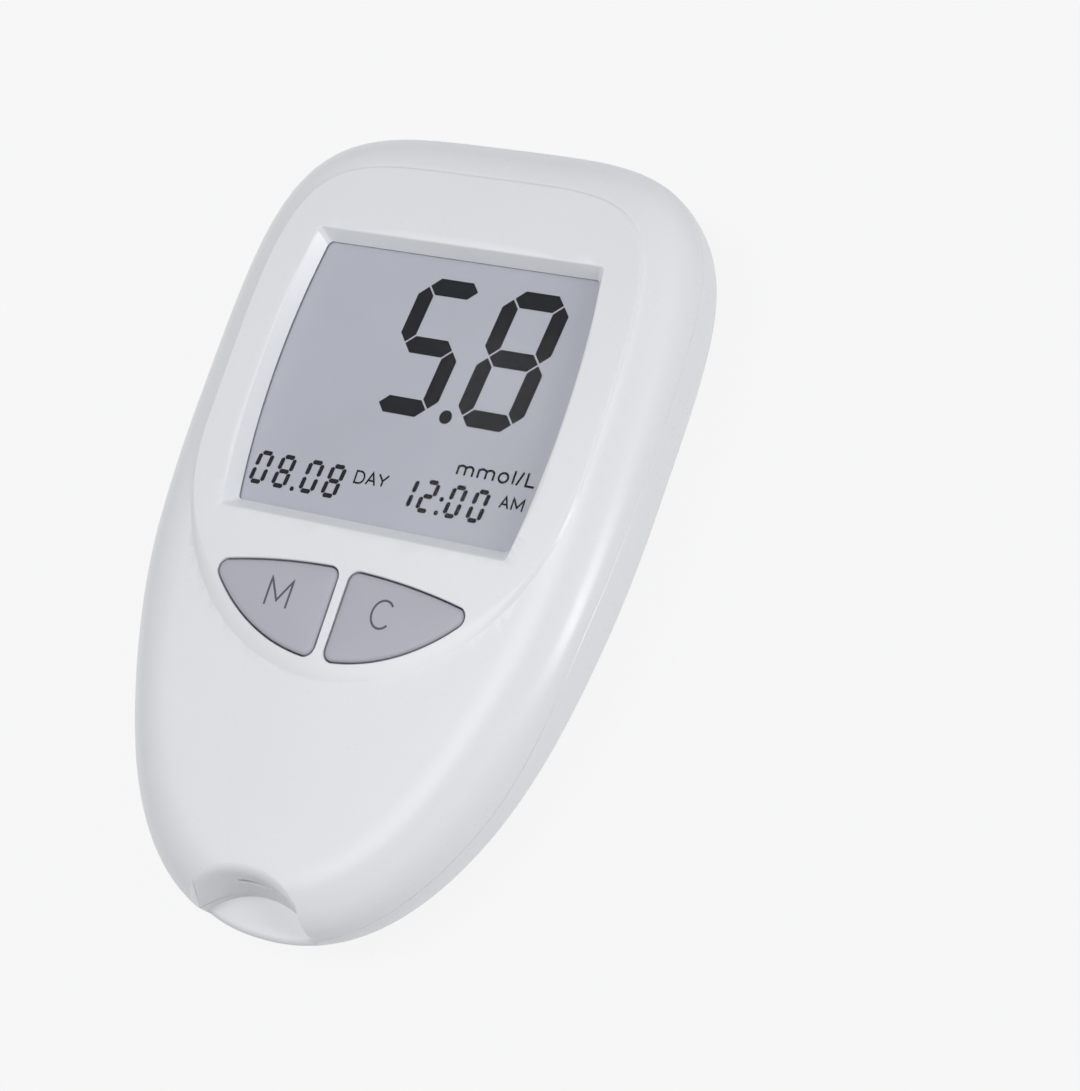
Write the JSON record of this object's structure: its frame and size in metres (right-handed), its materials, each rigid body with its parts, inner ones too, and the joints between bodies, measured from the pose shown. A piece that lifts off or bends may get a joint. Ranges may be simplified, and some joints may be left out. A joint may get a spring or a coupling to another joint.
{
  "type": "blood glucose meter",
  "caption": "Egg-shaped hand-held meter case with a sunk display, two grey keys, a scooped test strip port at the narrow end and a tilting battery door in the rear.",
  "frame": {"origin": "middle of the rear face, on which the meter lies", "axes": "+X across the case to the right seen from the face, +Y from the strip end to the top end, +Z out of the face"},
  "size_m": [0.053, 0.0829, 0.014],
  "materials": {
    "case_plastic": "satin moulded ABS, white",
    "window_clear": "clear acrylic with a hard coat",
    "tape_black": "black adhesive tape",
    "lcd_glass": "liquid crystal glass with a polariser",
    "reflector_film": "brushed reflector film",
    "frame_plastic": "moulded plastic",
    "zebra_rubber": "layered silicone rubber",
    "key_plastic": "satin grey plastic with printed letters",
    "dome_steel": "spring steel",
    "board_laminate": "green solder mask on glass-epoxy laminate",
    "chip_black": "black moulded package",
    "crystal_can": "drawn metal can",
    "buzzer_black": "black moulded plastic",
    "capacitor_tan": "ceramic",
    "resistor_black": "ceramic with a black glaze",
    "thermistor_bead": "coated bead",
    "socket_plastic": "ivory moulded plastic",
    "contact_gold": "gold plated spring bronze",
    "cell_steel": "nickel plated steel",
    "spring_steel": "nickel plated spring steel",
    "screw_steel": "zinc plated steel"
  },
  "bodies": {
    "root": {"front_case": "case_plastic", "rear_case": "case_plastic", "display_window": "window_clear", "window_tape": "tape_black", "lcd_front_glass": "lcd_glass", "lcd_back_glass": "lcd_glass", "lcd_reflector": "reflector_film", "lcd_frame": "frame_plastic", "zebra_strip": "zebra_rubber", "left_dome": "dome_steel", "right_dome": "dome_steel", "circuit_board": "board_laminate", "microcontroller": "chip_black", "memory_chip": "chip_black", "analogue_chip": "chip_black", "quartz_crystal": "crystal_can", "buzzer": "buzzer_black", "capacitors": "capacitor_tan", "resistors": "resistor_black", "thermistor": "thermistor_bead", "strip_socket": "socket_plastic", "strip_contacts": "contact_gold", "coin_cell": "cell_steel", "battery_plus_clip": "spring_steel", "battery_minus_spring": "spring_steel", "case_screws": "screw_steel", "board_screws": "screw_steel"},
    "left_key": {"left_key": "key_plastic"},
    "right_key": {"right_key": "key_plastic"},
    "battery_door": {"battery_door": "case_plastic"}
  },
  "joints": [
    {"name": "left_key_press", "type": "slide", "parent": "root", "child": "left_key", "axis": [0, 0.0289, -0.9996], "range_m": [0, 0.00035], "stiffness_N_per_m": 400, "springref_m": -0.0004, "deforming": ["left_dome"]},
    {"name": "right_key_press", "type": "slide", "parent": "root", "child": "right_key", "axis": [0, 0.0289, -0.9996], "range_m": [0, 0.00035], "stiffness_N_per_m": 400, "springref_m": -0.0004, "deforming": ["right_dome"]},
    {"name": "battery_door_tilt", "type": "hinge", "parent": "root", "child": "battery_door", "pos_m": [0, -0.0008, 0.001], "axis": [-1, 0, 0], "range_deg": [0, 80]}
  ]
}
